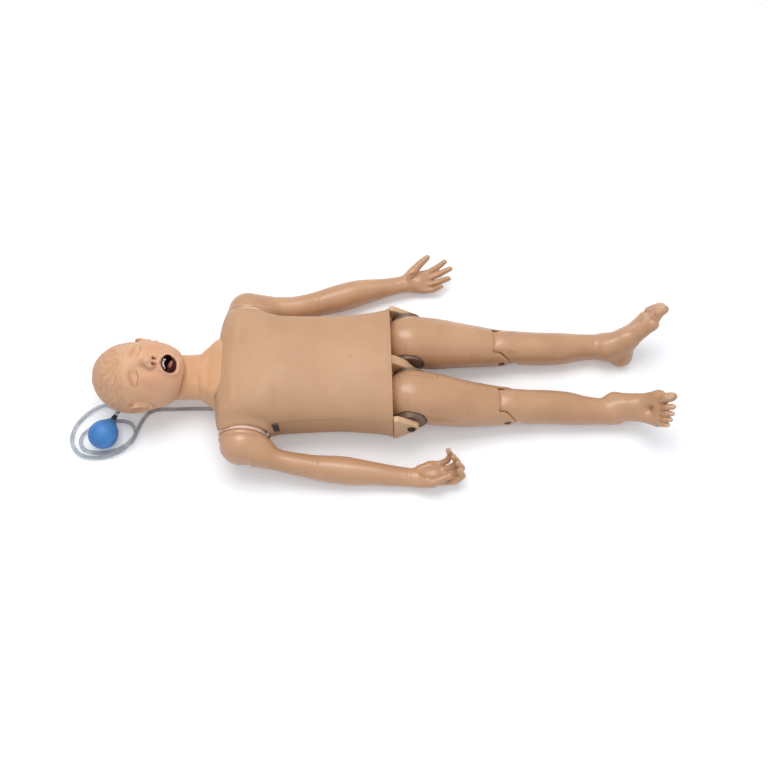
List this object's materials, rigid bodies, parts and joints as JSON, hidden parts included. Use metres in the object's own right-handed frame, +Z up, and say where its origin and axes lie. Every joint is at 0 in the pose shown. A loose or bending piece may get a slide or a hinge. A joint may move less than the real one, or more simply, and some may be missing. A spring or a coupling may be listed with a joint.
{
  "type": "child training manikin",
  "caption": "Child-size resuscitation training manikin lying on its back, with a jointed head, arms and legs, a soft chest skin and a blue pulse bulb on clear tubing",
  "frame": {"origin": "middle of the flat of the back, on the floor, midway along the torso", "axes": "+X towards the feet, +Y to the manikin's left, +Z up out of the chest; it lies face up"},
  "size_m": [1.222, 0.5306, 0.1837],
  "materials": {
    "face_skin": "soft satin vinyl",
    "neck_skin": "soft satin vinyl",
    "chest_skin": "soft satin vinyl",
    "limb_plastic": "smooth, softly shining vinyl",
    "torso_plastic": "plain moulded",
    "ring_plastic": "plain moulded",
    "mouth_red": "smooth",
    "tooth_white": "smooth",
    "tongue_pink": "soft",
    "white_plastic": "plain moulded",
    "dark_plastic": "plain moulded",
    "black_rubber": "plain moulded",
    "blue_rubber": "smooth, softly shining",
    "clear_tubing": "clear, smooth",
    "bag_film": "clear film",
    "hip_brown": "plain moulded",
    "dark_bolt": "dark, satin",
    "steel": "turned",
    "spring_steel": "drawn wire"
  },
  "bodies": {
    "torso": {"torso_shell": "torso_plastic", "chest_skin": "chest_skin", "neck_skin": "neck_skin", "neck_post": "steel", "spring_seat": "dark_plastic", "lung_bag": "bag_film", "side_strap_left": "dark_plastic", "side_strap_right": "dark_plastic", "tube_grommet": "black_rubber", "shoulder_ring_left": "ring_plastic", "shoulder_ring_right": "ring_plastic", "pelvis": "torso_plastic", "hip_blocks_left": "hip_brown", "hip_blocks_right": "hip_brown", "hip_bolt_left": "dark_bolt", "hip_bolt_right": "dark_bolt", "chest_spring": "spring_steel", "pulse_bulb": "blue_rubber", "bulb_connector": "black_rubber", "pulse_tube": "clear_tubing"},
    "chest_press": {"chest_plate": "white_plastic"},
    "neck_pivot": {"neck_swivel": "steel"},
    "head": {"head": "face_skin", "head_pin": "steel", "mouth_lining": "mouth_red", "upper_teeth": "tooth_white", "tongue": "tongue_pink"},
    "arm_left": {"arm_left": "limb_plastic", "shoulder_bolt_left": "steel"},
    "arm_right": {"arm_right": "limb_plastic", "shoulder_bolt_right": "steel"},
    "thigh_left": {"thigh_left": "limb_plastic", "hip_bush_left": "white_plastic", "knee_bolt_left": "dark_bolt"},
    "thigh_right": {"thigh_right": "limb_plastic", "hip_bush_right": "white_plastic", "knee_bolt_right": "dark_bolt", "thigh_pad": "limb_plastic"},
    "lower_leg_left": {"lower_leg_left": "limb_plastic", "knee_bush_left": "white_plastic"},
    "lower_leg_right": {"lower_leg_right": "limb_plastic", "knee_bush_right": "white_plastic"}
  },
  "joints": [
    {"name": "head_turn", "type": "hinge", "parent": "torso", "child": "neck_pivot", "pos_m": [-0.285, 0, 0.074], "axis": [1, 0, 0], "range_deg": [-30, 30]},
    {"name": "head_tilt", "type": "hinge", "parent": "neck_pivot", "child": "head", "pos_m": [-0.285, 0, 0.074], "axis": [0, 1, 0], "range_deg": [-3, 12]},
    {"name": "shoulder_left", "type": "hinge", "parent": "torso", "child": "arm_left", "pos_m": [-0.131, 0.135, 0.075], "axis": [0, 1, 0], "range_deg": [-180, 20]},
    {"name": "shoulder_right", "type": "hinge", "parent": "torso", "child": "arm_right", "pos_m": [-0.131, -0.135, 0.075], "axis": [0, 1, 0], "range_deg": [-180, 20]},
    {"name": "hip_left", "type": "hinge", "parent": "torso", "child": "thigh_left", "pos_m": [0.201, 0.062, 0.08], "axis": [0, -1, 0], "range_deg": [0, 70]},
    {"name": "hip_right", "type": "hinge", "parent": "torso", "child": "thigh_right", "pos_m": [0.201, -0.062, 0.08], "axis": [0, -1, 0], "range_deg": [0, 70]},
    {"name": "knee_left", "type": "hinge", "parent": "thigh_left", "child": "lower_leg_left", "pos_m": [0.397, 0.0629, 0.045], "axis": [0, 1, 0], "range_deg": [0, 90]},
    {"name": "knee_right", "type": "hinge", "parent": "thigh_right", "child": "lower_leg_right", "pos_m": [0.397, -0.0711, 0.045], "axis": [0, 1, 0], "range_deg": [0, 90]},
    {"name": "chest_press", "type": "slide", "parent": "torso", "child": "chest_press", "axis": [0, 0, -1], "range_m": [0, 0.035], "stiffness_N_per_m": 3000, "deforming": ["chest_spring"]}
  ]
}
